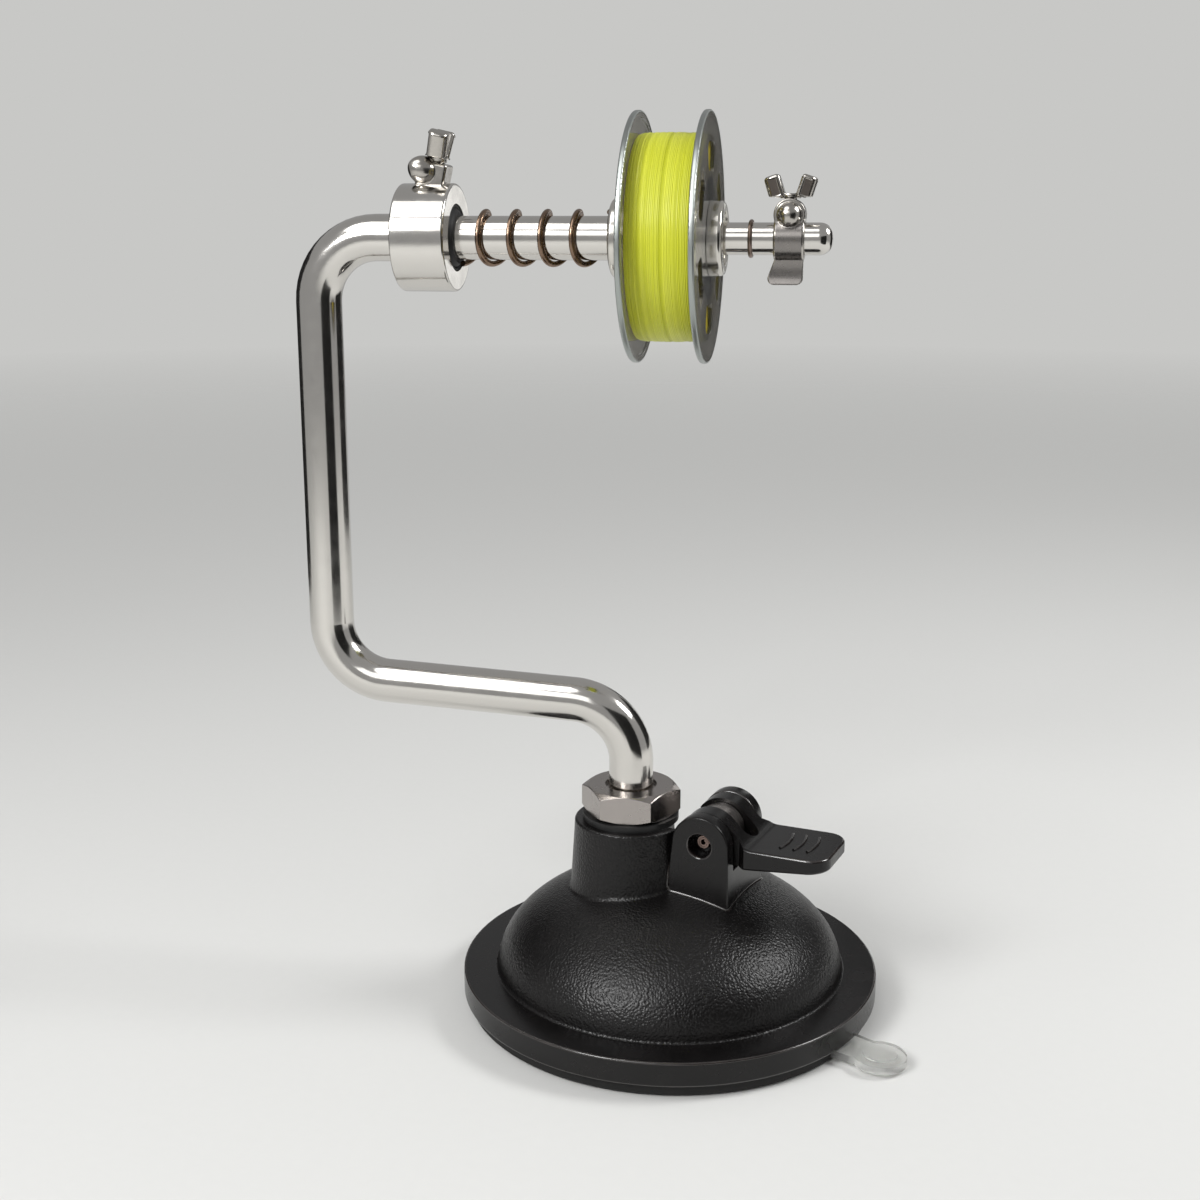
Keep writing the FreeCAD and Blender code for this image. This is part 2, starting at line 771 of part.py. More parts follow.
def arm_tube():
    route = arm_route()
    tube = swept_round(route, tube_radius).cut(swept_round(route, tube_bore_radius))
    groove_from = boss_core_foot_z - end_float - foot_circlip_thickness
    groove_to = boss_core_foot_z - end_float
    groove = ring_z_axis(tube_radius + cut_margin, tube_radius - foot_groove_depth,
                         boss_x, 0, groove_from, groove_to)
    return tube.cut(groove)


def open_ring(ring, centre, axis, gap_degrees):
    # cuts a wedge out of a ring so that it can be sprung into its groove
    reach = ring.BoundBox.DiagonalLength
    wedge = Part.makeCylinder(reach, 2 * reach, centre - axis * reach, axis, gap_degrees)
    return ring.cut(wedge)


def foot_circlip():
    top = boss_core_foot_z - end_float
    inner = tube_radius - foot_groove_depth
    ring = ring_z_axis(inner + foot_circlip_width, inner, boss_x, 0, top - foot_circlip_thickness, top)
    return open_ring(ring, Vector(boss_x, 0, top), AXIS_Z, circlip_gap)


def nut_washer():
    bore = tube_radius + turning_clearance
    return ring_z_axis(washer_radius, bore, boss_x, 0, boss_top_z, washer_top_z)


def hex_nut():
    corner_radius = nut_across_flats / math.sqrt(3)
    corners = []
    for number in range(6):
        angle = math.radians(nut_turn + 60 * number)
        x = boss_x + corner_radius * math.cos(angle)
        corners.append(Vector(x, corner_radius * math.sin(angle), washer_top_z))
    prism = face_of(corners).extrude(Vector(0, 0, nut_height))
    full = corner_radius + cut_margin
    face_radius = nut_across_flats / 2 - nut_face_inset
    chamfer = (full - face_radius) * math.tan(math.radians(nut_chamfer_angle))
    turned = revolved_z([
        (0, washer_top_z),
        (face_radius, washer_top_z),
        (full, washer_top_z + chamfer),
        (full, nut_top_z - chamfer),
        (face_radius, nut_top_z),
        (0, nut_top_z),
    ], boss_x)
    nut = prism.common(turned)
    bore_radius = tube_radius + fixed_clearance
    bore = cylinder_z(bore_radius, boss_x, 0, washer_top_z - cut_margin, nut_top_z + cut_margin)
    mouth = cylinder_z(nut_mouth_radius, boss_x, 0, nut_top_z - nut_mouth_depth, nut_top_z + cut_margin)
    return nut.cut(bore).cut(mouth)


# ---------------------------------------------------------------- collar
def shaft_collar():
    collar = cylinder_x(collar_radius, collar_left_x, collar_face_x)
    rims = circles_at(collar, collar_radius, lambda centre: True)
    collar = collar.makeFillet(collar_edge_round, rims)
    seat = cylinder_x(tube_radius + fixed_clearance, collar_left_x - cut_margin, tube_end_x)
    clear_radius = spindle_thick_radius + collar_bore_clearance
    clear_bore = cylinder_x(clear_radius, tube_end_x - cut_margin, collar_face_x)
    seal_bore = cylinder_x(seal_radius + fixed_clearance, seal_back_x, collar_face_x + cut_margin)
    collar = collar.cut(seat).cut(clear_bore).cut(seal_bore).cut(brake_hole())
    return collar.cut(screw_boss_body())


def brake_hole():
    foot = -brake_depth - brake_screw_radius
    hole = cylinder_z(brake_screw_radius, 0, 0, foot, screw_boss_height + cut_margin)
    return at_place(hole, brake_place)


def screw_boss_body():
    half_x = screw_boss_width / 2
    half_y = screw_boss_depth / 2
    body = block(-half_x, half_x, -half_y, half_y, -screw_boss_sink, screw_boss_height)
    free_edges = edges_where(body, lambda edge: edge_middle(edge).z > -screw_boss_sink + 1e-3)
    return at_place(body.makeFillet(screw_boss_edge_round, free_edges), brake_place)


def nose_cap():
    # blunt pointed cap along +X on a short round root
    back = Vector(-nose_root_length, 0, 0)
    back_rim = Vector(-nose_root_length, 0, nose_back_radius)
    rim = Vector(0, 0, nose_radius)
    shoulder = Vector(nose_length * nose_shoulder_along, 0, nose_radius * nose_shoulder_out)
    tip = Vector(nose_length, 0, 0)
    outline = Part.Wire([Part.makeLine(back, back_rim), Part.makeLine(back_rim, rim),
                         Part.Arc(rim, shoulder, tip).toShape(), Part.makeLine(tip, back)])
    return Part.Face(outline).revolve(ORIGIN, AXIS_X, 360)


def collar_screw_boss():
    nose = nose_cap()
    nose.Placement = FreeCAD.Placement(
        Vector(nose_offset_x, nose_offset_y, nose_height),
        FreeCAD.Rotation(AXIS_X, Vector(nose_offset_x, nose_offset_y, nose_tip_rise)))
    collar_envelope = cylinder_x(collar_radius + fixed_clearance, collar_left_x, collar_face_x)
    nose = at_place(nose, brake_place).cut(collar_envelope)
    neck_room = cylinder_z(wing_neck_radius + turning_clearance, 0, 0,
                           screw_boss_height, screw_boss_height + nose_radius)
    body = fused(screw_boss_body(), nose)
    return body.cut(brake_hole()).cut(at_place(neck_room, brake_place))


def collar_seal():
    bore = spindle_thick_radius + turning_clearance
    middle = (bore + seal_radius) / 2
    seal = revolved_spindle([
        (seal_back_x, bore),
        (seal_back_x, seal_radius),
        (collar_face_x - seal_lip_round, seal_radius),
        (collar_face_x, seal_radius - seal_lip_round),
        (collar_face_x - seal_lip_round, middle + seal_lip_round),
        (seal_front_x - seal_lip_round, middle),
        (seal_front_x, middle - seal_lip_round),
        (seal_front_x, bore),
    ])
    return seal


def journal_sleeve():
    outer = tube_bore_radius - fixed_clearance
    return ring_x_axis(outer, journal_radius + turning_clearance, sleeve_end_x, tube_end_x)


# ---------------------------------------------------------------- wing screws
def wing(side, length):
    # one wing with a shallow pocket in each face, standing on z = 0 and leaning outwards
    inner = wing_gap / 2
    outer = inner + wing_width
    half = wing_thickness / 2
    rim = wing_pocket_rim
    body = block(inner, outer, -half, half, 0, length)
    outer_edges = edges_where(body, lambda edge: edge_middle(edge).x > outer - 1e-3
                              and abs(edge_middle(edge).z - length / 2) < 1e-3)
    body = body.makeFillet(wing_outer_round, outer_edges)
    other_edges = edges_where(body, lambda edge: edge_middle(edge).x < inner + 1e-3
                              or abs(edge_middle(edge).z - length / 2) > length / 2 - 1e-3)
    body = body.makeFillet(wing_edge_round, other_edges)
    pocket = block(inner + rim, outer - rim, half - wing_pocket_depth, wing_thickness, rim, length - rim)
    body = body.cut(pocket).cut(pocket.mirror(ORIGIN, AXIS_Y))
    body.rotate(Vector(inner, 0, 0), AXIS_Y, wing_lean)
    if side < 0:
        body = body.mirror(ORIGIN, AXIS_X)
    return body


def wing_screw(neck_height, wing_length, shank_radius, shank_length):
    # stands along +Z with its seat at z = 0; nothing of the wings hangs below the neck's top
    shank = cylinder_z(shank_radius, 0, 0, -shank_length, neck_height)
    neck = cylinder_z(wing_neck_radius, 0, 0, end_float, neck_height + wing_web_height)
    web_half = (wing_gap + wing_width) / 2
    web_depth_half = wing_thickness / 3
    web = block(-web_half, web_half, -web_depth_half, web_depth_half,
                neck_height, neck_height + wing_web_height)
    below = cylinder_z(2 * wing_length, 0, 0, -wing_length, 0)
    wings = []
    for side in (-1, 1):
        one = wing(side, wing_length).cut(below)
        one.translate(Vector(0, 0, neck_height))
        wings.append(one)
    return single_solid(fused(shank, neck, web, *wings))


def brake_wing_screw():
    shank_radius = brake_screw_radius - turning_clearance
    screw = wing_screw(brake_neck_height, brake_wing_length, shank_radius, brake_shank_length)
    screw.rotate(ORIGIN, AXIS_Z, brake_wing_turn)
    screw.translate(Vector(0, 0, screw_boss_height))
    return at_place(screw, brake_place)


def brake_pad():
    # its foot is a ball's cap, so that it bears on the spindle however far the screw turns
    radius = brake_screw_radius - turning_clearance
    pad = cylinder_z(radius, 0, 0, -brake_depth, brake_pad_thickness - brake_depth)
    foot_centre = Vector(0, 0, brake_pad_round - brake_depth)
    cap = Part.makeSphere(brake_pad_round, foot_centre)
    return single_solid(at_place(pad.common(cap), brake_place))


def stop_wing_screw():
    shank_length = crown_top_z - spindle_z - spindle_thin_radius - turning_clearance
    screw = wing_screw(stop_neck_height, stop_wing_length, stop_screw_radius, shank_length)
    screw.rotate(ORIGIN, AXIS_Z, stop_wing_turn)
    screw.translate(Vector(stop_middle_x, 0, crown_top_z))
    return screw


# ---------------------------------------------------------------- spindle
def spindle():
    journal = cylinder_x(journal_radius, journal_end_x, spindle_shoulder_x)
    thick = cylinder_x(spindle_thick_radius, spindle_shoulder_x, spindle_step_x)
    thin = cylinder_x(spindle_thin_radius, spindle_step_x, spindle_end_x)
    end = circles_at(thin, spindle_thin_radius, lambda centre: centre.x > spindle_end_x - 1e-3)
    thin = thin.makeFillet(spindle_end_round, end)
    body = fused(journal, thick, thin)
    groove_x = sleeve_end_x - end_float
    tail_groove = ring_x_axis(journal_radius + cut_margin, journal_radius - journal_groove_depth,
                              groove_x - journal_circlip_thickness, groove_x)
    ring_seat = Part.makeTorus(ring_centre_radius(), ring_wire_radius, Vector(ring_x, 0, spindle_z), AXIS_X)
    rest_end_x = stop_right_x + rest_groove_proud
    rest_groove = ring_x_axis(spindle_thin_radius + cut_margin, spindle_thin_radius - rest_groove_depth,
                              rest_end_x - rest_groove_width, rest_end_x)
    return body.cut(tail_groove).cut(ring_seat).cut(rest_groove)


def journal_circlip():
    right = sleeve_end_x - end_float
    inner = journal_radius - journal_groove_depth
    ring = ring_x_axis(inner + journal_circlip_width, inner, right - journal_circlip_thickness, right)
    return open_ring(ring, Vector(right, 0, spindle_z), AXIS_X, circlip_gap)


def ring_centre_radius():
    return spindle_thin_radius - ring_groove_depth + ring_wire_radius


def wire_ring():
    centre = Vector(ring_x, 0, spindle_z)
    ring = Part.makeTorus(ring_centre_radius(), ring_wire_radius, centre, AXIS_X)
    return open_ring(ring, centre, AXIS_X, wire_ring_gap)


def drag_spring():
    # free length between the seal's face and the left bush; its loose coils lean on the spindle
    end_room = spring_wire_radius + spring_lean_up * spring_mean_radius
    length = left_bush_x - seal_front_x - 2 * end_room
    helix = Part.makeHelix(length / spring_turns, length, spring_mean_radius)
    first = helix.Edges[0]
    section = Part.Wire(Part.makeCircle(
        spring_wire_radius, first.valueAt(first.FirstParameter), first.tangentAt(first.FirstParameter)))
    spring = Part.Wire(helix.Edges).makePipeShell([section], True, True)
    lean = FreeCAD.Matrix()
    lean.A31 = -spring_lean_up
    lean.A32 = spring_lean_across
    spring = spring.transformGeometry(lean)
    spring.rotate(ORIGIN, AXIS_Y, 90)
    spring.translate(Vector(seal_front_x + end_room, 0, spindle_z))
    return spring


# ---------------------------------------------------------------- bushes and spool
def bush(radius, thickness, bore):
    # flat seat at x = 0 with its spigot towards +X, the rounded free face towards -X
    spigot = cylinder_x(spigot_radius, 0, bush_spigot_length)
    body = cylinder_x(radius, -thickness, 0)
    rim = circles_at(body, radius, lambda centre: centre.x < -thickness + 1e-3)
    body = body.makeFillet(bush_edge_round, rim)
    recess = cylinder_x(bush_recess_radius, -thickness - cut_margin, bush_recess_depth - thickness)
    hole = cylinder_x(bore, -thickness - cut_margin, bush_spigot_length + cut_margin)
    return fused(body, spigot).cut(recess).cut(hole)


def left_bush():
    left = bush(left_bush_radius, left_bush_thickness, spindle_thick_radius + turning_clearance)
    left.translate(Vector(spool_left_x, 0, 0))
    return left


def right_bush():
    right = bush(right_bush_radius, right_bush_thickness, spindle_thin_radius + turning_clearance)
    right = right.mirror(ORIGIN, AXIS_X)
    right.translate(Vector(spool_right_x, 0, 0))
    return right


def window(x_from, x_to, turn):
    # one opening in a flange: a piece of a ring with rounded corners
    ring = ring_x_axis(window_outer_radius, window_inner_radius, x_from, x_to)
    reach = 2 * window_outer_radius
    half = math.radians(window_angle / 2)
    sector = face_of([
        Vector(x_from, 0, spindle_z),
        Vector(x_from, reach * math.sin(-half), spindle_z + reach * math.cos(half)),
        Vector(x_from, reach * math.sin(half), spindle_z + reach * math.cos(half)),
    ]).extrude(Vector(x_to - x_from, 0, 0))
    opening = ring.common(sector)

    def is_corner(edge):
        direction = edge.tangentAt(edge.FirstParameter)
        return abs(direction.x) > 0.99

    opening = opening.makeFillet(window_corner_radius, edges_where(opening, is_corner))
    opening.rotate(Vector(0, 0, spindle_z), AXIS_X, turn)
    return opening


def spool_half():
    # a flange with a rim bead at x = 0, and half of the core towards +X
    flange = ring_x_axis(spool_radius - spool_rim_width, spool_bore_radius, 0, spool_flange_thickness)
    bead = ring_x_axis(spool_radius, spool_radius - 2 * spool_rim_width, 0, spool_rim_thickness)
    rims = circles_at(bead, spool_radius, lambda centre: True)
    bead = bead.makeFillet(spool_rim_width / 2, rims)
    core = ring_x_axis(spool_core_radius, spool_bore_radius, 0, spool_width / 2)
    half = fused(flange, bead, core)
    for number in range(window_count):
        turn = number * 360.0 / window_count
        half = half.cut(window(-cut_margin, spool_flange_thickness + cut_margin, turn))
    return half


def spool_left_half():
    left = spool_half()
    left.translate(Vector(spool_left_x, 0, 0))
    return left


def spool_right_half():
    right = spool_half().mirror(ORIGIN, AXIS_X)
    right.translate(Vector(spool_right_x, 0, 0))
    return right


def line_winding():
    left = spool_left_x + spool_flange_thickness + line_gap
    right = spool_right_x - spool_flange_thickness - line_gap
    third = (right - left) / 3
    return revolved_spindle([
        (left, spool_core_radius + line_gap),
        (left, line_radius - line_shoulder_drop),
        (left + third, line_radius),
        (right - third, line_radius),
        (right, line_radius - line_shoulder_drop),
        (right, spool_core_radius + line_gap),
    ])


# ---------------------------------------------------------------- stop
def paddle():
    # flared thumb paddle under the stop's ring, dished on both faces
    top_z = spindle_z - stop_radius + paddle_root
    low_z = spindle_z - paddle_reach
    half = paddle_thickness / 2
    right = stop_right_x - paddle_set_back
    plate = face_of([
        Vector(right - paddle_top_width, -half, top_z),
        Vector(right, -half, top_z),
        Vector(right, -half, low_z),
        Vector(right - paddle_foot_width, -half, low_z),
    ]).extrude(Vector(0, paddle_thickness, 0))

    def is_foot_corner(edge):
        across_plate = abs(edge.tangentAt(edge.FirstParameter).y) > 0.99
        return across_plate and edge_middle(edge).z < low_z + 1e-3

    plate = plate.makeFillet(paddle_corner_radius, edges_where(plate, is_foot_corner))
    middle_z = (spindle_z - stop_radius + low_z) / 2
    for side in (-1, 1):
        dish_y = side * (half - paddle_dish_depth + paddle_dish_radius)
        start = Vector(stop_left_x - paddle_foot_width, dish_y, middle_z)
        dish = cylinder(paddle_dish_radius, start, AXIS_X, 3 * paddle_foot_width)
        plate = plate.cut(dish)
    return plate


def stop_collar():
    ring = cylinder_x(stop_radius, stop_left_x, stop_right_x)
    rims = circles_at(ring, stop_radius, lambda centre: True)
    ring = ring.makeFillet(stop_edge_round, rims)
    crown = cylinder(crown_radius, Vector(stop_middle_x, -crown_depth / 2, crown_z), AXIS_Y, crown_depth)
    nose = Part.makeSphere(stop_nose_radius, Vector(stop_middle_x, -stop_nose_reach, crown_z))
    body = fused(ring, crown, nose, paddle())
    bore = cylinder_x(stop_bore_radius, stop_left_x - cut_margin, stop_right_x + cut_margin)
    screw_hole = cylinder_z(stop_screw_radius + turning_clearance, stop_middle_x, 0,
                            spindle_z, crown_top_z + cut_margin)
    return single_solid(body.cut(bore).cut(screw_hole))


# ---------------------------------------------------------------- write every piece
PIECES = {
    "base_housing": base_housing,
    "suction_cup": suction_cup,
    "release_tab": release_tab,
    "boss_insert": boss_insert,
    "lift_plate": lift_plate,
    "lift_stem": lift_stem,
    "lever_pin": lever_pin,
    "cam_lever": cam_lever,
    "arm_tube": arm_tube,
    "foot_circlip": foot_circlip,
    "nut_washer": nut_washer,
    "hex_nut": hex_nut,
    "shaft_collar": shaft_collar,
    "collar_screw_boss": collar_screw_boss,
    "collar_seal": collar_seal,
    "journal_sleeve": journal_sleeve,
    "brake_wing_screw": brake_wing_screw,
    "brake_pad": brake_pad,
    "spindle": spindle,
    "journal_circlip": journal_circlip,
    "wire_ring": wire_ring,
    "drag_spring": drag_spring,
    "left_bush": left_bush,
    "right_bush": right_bush,
    "spool_left_half": spool_left_half,
    "spool_right_half": spool_right_half,
    "line_winding": line_winding,
    "stop_collar": stop_collar,
    "stop_wing_screw": stop_wing_screw,
}

os.makedirs("parts", exist_ok=True)
for name, make in PIECES.items():
    make().exportStep("parts/" + name + ".step")
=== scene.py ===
import math
import random

import bpy
from mathutils import Matrix, Vector
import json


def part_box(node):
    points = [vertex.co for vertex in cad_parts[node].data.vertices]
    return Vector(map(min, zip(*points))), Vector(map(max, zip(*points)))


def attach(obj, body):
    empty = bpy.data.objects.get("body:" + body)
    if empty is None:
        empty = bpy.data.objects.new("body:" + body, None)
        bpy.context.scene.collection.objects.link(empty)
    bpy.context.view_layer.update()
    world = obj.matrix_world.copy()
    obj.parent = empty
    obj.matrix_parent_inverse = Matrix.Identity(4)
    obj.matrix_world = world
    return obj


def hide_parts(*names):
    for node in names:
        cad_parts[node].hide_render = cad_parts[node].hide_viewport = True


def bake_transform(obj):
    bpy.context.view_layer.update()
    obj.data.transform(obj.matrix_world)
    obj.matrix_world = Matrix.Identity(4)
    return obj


# Line winder on a suction foot: the finished surfaces of its pieces and the studio round them.
# Lengths are in metres, and angles are in degrees until Blender takes them.

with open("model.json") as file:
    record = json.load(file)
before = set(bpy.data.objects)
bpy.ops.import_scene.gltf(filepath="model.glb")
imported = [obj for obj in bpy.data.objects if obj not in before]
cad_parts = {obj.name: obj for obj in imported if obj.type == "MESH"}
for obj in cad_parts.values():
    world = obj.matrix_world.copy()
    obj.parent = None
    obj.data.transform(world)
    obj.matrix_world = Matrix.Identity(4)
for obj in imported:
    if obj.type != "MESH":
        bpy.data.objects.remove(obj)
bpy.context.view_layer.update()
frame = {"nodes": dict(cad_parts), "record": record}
nodes = frame["nodes"]

MM = 0.001

body_of = {
    node: body
    for body, members in frame["record"]["behaviour"]["bodies"].items()
    for node in members
}

# the base: its place from the frame, and its own sizes
housing_low, housing_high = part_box("base_housing")
FLANGE_RADIUS = housing_high.x
FLANGE_THICKNESS = 6.6 * MM
FLANGE_ROUND = 0.9 * MM
FLANGE_FOOT_Z = housing_low.z
FLANGE_TOP_Z = FLANGE_FOOT_Z + FLANGE_THICKNESS
DOME_FOOT_RADIUS = 47.5 * MM
DOME_RISE = 26.0 * MM
BOSS_X = -11.0 * MM
PAD_START_X = 30.0 * MM

# the row on the spindle, in the same way
spindle_low, spindle_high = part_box("spindle")
line_low, line_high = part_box("line_winding")
SPINDLE_Z = (spindle_low.z + spindle_high.z) / 2
LINE_LEFT = line_low.x
LINE_RIGHT = line_high.x
LINE_SINK = 0.05 * MM  # how far the strands' tops stay inside the solid
LINE_RADIUS = line_high.z - SPINDLE_Z - LINE_SINK
CORE_RADIUS = 15.1 * MM
SPOOL_RIM_WIDTH = 1.0 * MM
SPOOL_RIM_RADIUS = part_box("spool_left_half")[1].z - SPINDLE_Z - SPOOL_RIM_WIDTH
STOP_BAND_RADIUS = 5.2 * MM

random.seed(7)


# ---------------------------------------------------------------- shaping kit

MERGE_REACH = 0.004 * MM  # points nearer than this are one
FLAT_ANGLE = 0.25         # faces that meet at less than this are one flat
ROUNDED = 1               # the material slot in which soften leaves the faces that it makes


def work_on(piece):
    """Makes this the only selected object, and the active one."""
    bpy.ops.object.select_all(action="DESELECT")
    piece.select_set(True)
    bpy.context.view_layer.objects.active = piece


def apply(piece, kind, name, **settings):
    """Adds a modifier with these settings and applies it."""
    work_on(piece)
    step = piece.modifiers.new(name, kind)
    for setting, value in settings.items():
        setattr(step, setting, value)
    bpy.ops.object.modifier_apply(modifier=step.name)


def soften(piece, edge, corner, smooth):
    """Rounds edges sharper than the corner angle by this much, and shades flatter ones smooth."""
    if edge:
        while len(piece.data.materials) <= ROUNDED:
            piece.data.materials.append(None)
        apply(piece, "BEVEL", "edge_rounding", width=edge, segments=2, limit_method="ANGLE",
              angle_limit=math.radians(corner), use_clamp_overlap=False, loop_slide=False,
              material=ROUNDED)
    work_on(piece)
    bpy.ops.object.shade_smooth_by_angle(angle=math.radians(smooth))
    apply(piece, "WEIGHTED_NORMAL", "flat_faces", keep_sharp=True, weight=50)


def paint(piece, finish):
    """Covers a piece with one finish, or with the finish that a function gives for each face."""
    choose = finish if callable(finish) else lambda face: finish
    chosen = [choose(face) for face in piece.data.polygons]
    finishes = list(dict.fromkeys(chosen))
    piece.data.materials.clear()
    for material in finishes:
        piece.data.materials.append(material)
    for face, material in zip(piece.data.polygons, chosen):
        face.material_index = finishes.index(material)


def stand_for(piece, node):
    """This piece takes the node's place on its body."""
    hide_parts(node)
    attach(piece, body_of[node])


def merged_copy(node):
    """The node's own solid as a new piece, with its doubled points merged and its flats whole."""
    piece = bpy.data.objects.new(node + "_finished", nodes[node].data.copy())
    bpy.context.collection.objects.link(piece)
    work_on(piece)
    bpy.ops.mesh.customdata_custom_splitnormals_clear()
    bpy.ops.object.mode_set(mode="EDIT")
    bpy.ops.mesh.select_all(action="SELECT")
    bpy.ops.mesh.remove_doubles(threshold=MERGE_REACH)
    bpy.ops.mesh.dissolve_limited(angle_limit=math.radians(FLAT_ANGLE))
    bpy.ops.object.mode_set(mode="OBJECT")
    return piece


def finished_copy(node, finish, edge=0.0, corner=38.0, smooth=34.0, mend=None):
    """The node's solid with its sharp edges rounded by this much, painted, in the node's place."""
    piece = merged_copy(node)
    if mend:
        mend(piece)
    soften(piece, edge, corner, smooth)
    paint(piece, finish)
    stand_for(piece, node)


def new_square(name, size, place, turn=(0.0, 0.0, 0.0)):
    """A new flat square, and the only selected object."""
    bpy.ops.object.select_all(action="DESELECT")
    bpy.ops.mesh.primitive_plane_add(size=size, location=place, rotation=turn)
    square = bpy.context.object
    square.name = name
    return square


# ---------------------------------------------------------------- material kit

SPAN = (0.3, 0.7)  # the part of the range from 0 to 1 that noise mostly keeps to
BLOTCH = 0.5       # width of a noise's blotches at a scale of 1


def ink(code):
    """Linear colour of an sRGB hex code."""
    channels = []
    for place in (1, 3, 5):
        value = int(code[place:place + 2], 16) / 255
        channels.append(value / 12.92 if value <= 0.04045 else ((value + 0.055) / 1.055) ** 2.4)
    return (*channels, 1.0)


def add(tree, kind, links=None, values=None, **settings):
    """A node of this kind, with its settings, socket values and incoming links."""
    node = tree.nodes.new(kind)
    for name, value in settings.items():
        setattr(node, name, value)
    for name, value in (values or {}).items():
        node.inputs[name].default_value = value
    for name, source in (links or {}).items():
        tree.links.new(source, node.inputs[name])
    return node


def start_finish(name, **sockets):
    """A new material with its tree, its shader and the object's own coordinates.

    The shader's values go by their sockets' names, with _ for a space.
    """
    finish = bpy.data.materials.new(name)
    finish.use_nodes = True
    tree = finish.node_tree
    shader = tree.nodes["Principled BSDF"]
    for socket, value in sockets.items():
        shader.inputs[socket.replace("_", " ")].default_value = value
    where = add(tree, "ShaderNodeTexCoord").outputs["Object"]
    return finish, tree, shader, where


def vary(tree, socket, pattern, shades, span=SPAN):
    """Lets a socket run between two hex colours or greys, over this span of a pattern."""
    ramp = add(tree, "ShaderNodeValToRGB", {"Fac": pattern})
    for stop, place, shade in zip(ramp.color_ramp.elements, span, shades):
        stop.position = place
        stop.color = ink(shade) if isinstance(shade, str) else (shade, shade, shade, 1.0)
    tree.links.new(ramp.outputs["Color"], socket)


def mottled(name, blotch, roughness, grain, depth, strength, colours=None,
            colour_span=SPAN, roughness_span=SPAN, detail=3.0, **sockets):
    """A finish whose colour and roughness drift over blotches, with a fine grain in its surface.

    Blotch and grain are the widths of the two patterns, and depth is how deep the grain goes.
    """
    finish, tree, shader, where = start_finish(name, **sockets)
    cloud = add(tree, "ShaderNodeTexNoise", {"Vector": where},
                {"Scale": BLOTCH / blotch, "Detail": detail}).outputs["Fac"]
    if colours:
        vary(tree, shader.inputs["Base Color"], cloud, colours, colour_span)
    vary(tree, shader.inputs["Roughness"], cloud, roughness, roughness_span)
    surface = add(tree, "ShaderNodeTexNoise", {"Vector": where},
                  {"Scale": BLOTCH / grain, "Detail": 3.0}).outputs["Fac"]
    bump = add(tree, "ShaderNodeBump", {"Height": surface}, {"Strength": strength, "Distance": depth})
    tree.links.new(bump.outputs["Normal"], shader.inputs["Normal"])
    return finish


# ---------------------------------------------------------------- black finishes

PEBBLE_WIDTH = 0.5882 * MM
PEBBLE_DEPTH = 0.18 * MM
DOME_CLOUD = 6 * MM  # width of the faint lighter patches on the dome


def grained_nylon():
    """Matt black nylon with a fine pebble grain, so the dome breaks its highlight up."""
    finish, tree, shader, where = start_finish("grained_black_nylon", Specular_IOR_Level=0.36)
    pebbles = add(tree, "ShaderNodeTexVoronoi", {"Vector": where}, {"Scale": 1 / PEBBLE_WIDTH},
                  feature="SMOOTH_F1").outputs["Distance"]
    cloud = add(tree, "ShaderNodeTexNoise", {"Vector": where},
                {"Scale": BLOTCH / DOME_CLOUD, "Detail": 3.0}).outputs["Fac"]
    vary(tree, shader.inputs["Base Color"], cloud, ("#0a0909", "#110f0f"))
    vary(tree, shader.inputs["Roughness"], pebbles, (0.27, 0.42), (0.0, 0.8))
    bump = add(tree, "ShaderNodeBump", {"Height": pebbles},
               {"Strength": 1.0, "Distance": PEBBLE_DEPTH})
    tree.links.new(bump.outputs["Normal"], shader.inputs["Normal"])
    return finish


def plain_black(name, colour, roughness):
    """Black moulding or rubber of the small parts, slightly cloudy so they don't look painted."""
    return mottled(name, blotch=2 * MM, colours=(colour, "#222222"), colour_span=(0.3, 0.8),
                   roughness=(roughness, roughness + 0.1),
                   grain=0.2 * MM, depth=0.01 * MM, strength=0.4, Specular_IOR_Level=0.45)


dome_black = grained_nylon()

# smooth satin nylon, so flange and bracket keep crisp edge lights
smooth_black = mottled(
    "smooth_black_nylon", blotch=4 * MM, colours=("#0a0909", "#100e0e"), roughness=(0.22, 0.30),
    grain=0.5 * MM, depth=0.006 * MM, strength=0.4, Specular_IOR_Level=0.34)

# nylon rubbed glossy, and painted a shade paler as a highlight, so handled edges catch a fine line of
# light
edge_highlight_black = mottled(
    "rubbed_nylon_painted_highlight", blotch=1.5 * MM, colours=("#1b1817", "#2c2725"),
    roughness=(0.14, 0.22), grain=0.5 * MM, depth=0.004 * MM, strength=0.3,
    Specular_IOR_Level=0.9)

# dull rubber with a dry bloom, so the lip reads softer than the flange
rubber_black = mottled(
    "black_rubber", blotch=3 * MM, colours=("#121212", "#1e1d1c"), colour_span=(0.35, 0.75),
    roughness=(0.55, 0.68), grain=0.3 * MM, depth=0.02 * MM, strength=0.5, detail=4.0,
    Specular_IOR_Level=0.35)

washer_black = plain_black("black_washer_nylon", "#131313", 0.42)
seal_black = plain_black("black_seal_rubber", "#101010", 0.5)


# ---------------------------------------------------------------- metals

def metal(name, colour, gloss, haze=2.5 * MM):
    """Metal with faint buffing haze, so its reflections stay sharp but not perfect.

    Real buffing marks are too fine to show, so the grain is drawn at 0.4 mm.
    """
    return mottled(name, blotch=haze, roughness=(gloss, gloss + 0.08), roughness_span=(0.3, 0.75),
                   grain=0.4 * MM, depth=0.004 * MM, strength=0.35, detail=4.0,
                   Metallic=1.0, Base_Color=ink(colour))


# bright and mirror-like, with long clean streaks down the tube
bright_steel = metal("polished_stainless", "#d8d5d0", 0.10)
# softer than the tube, so the nut's flats read as flats
satin_steel = metal("satin_steel", "#aba5a1", 0.22)
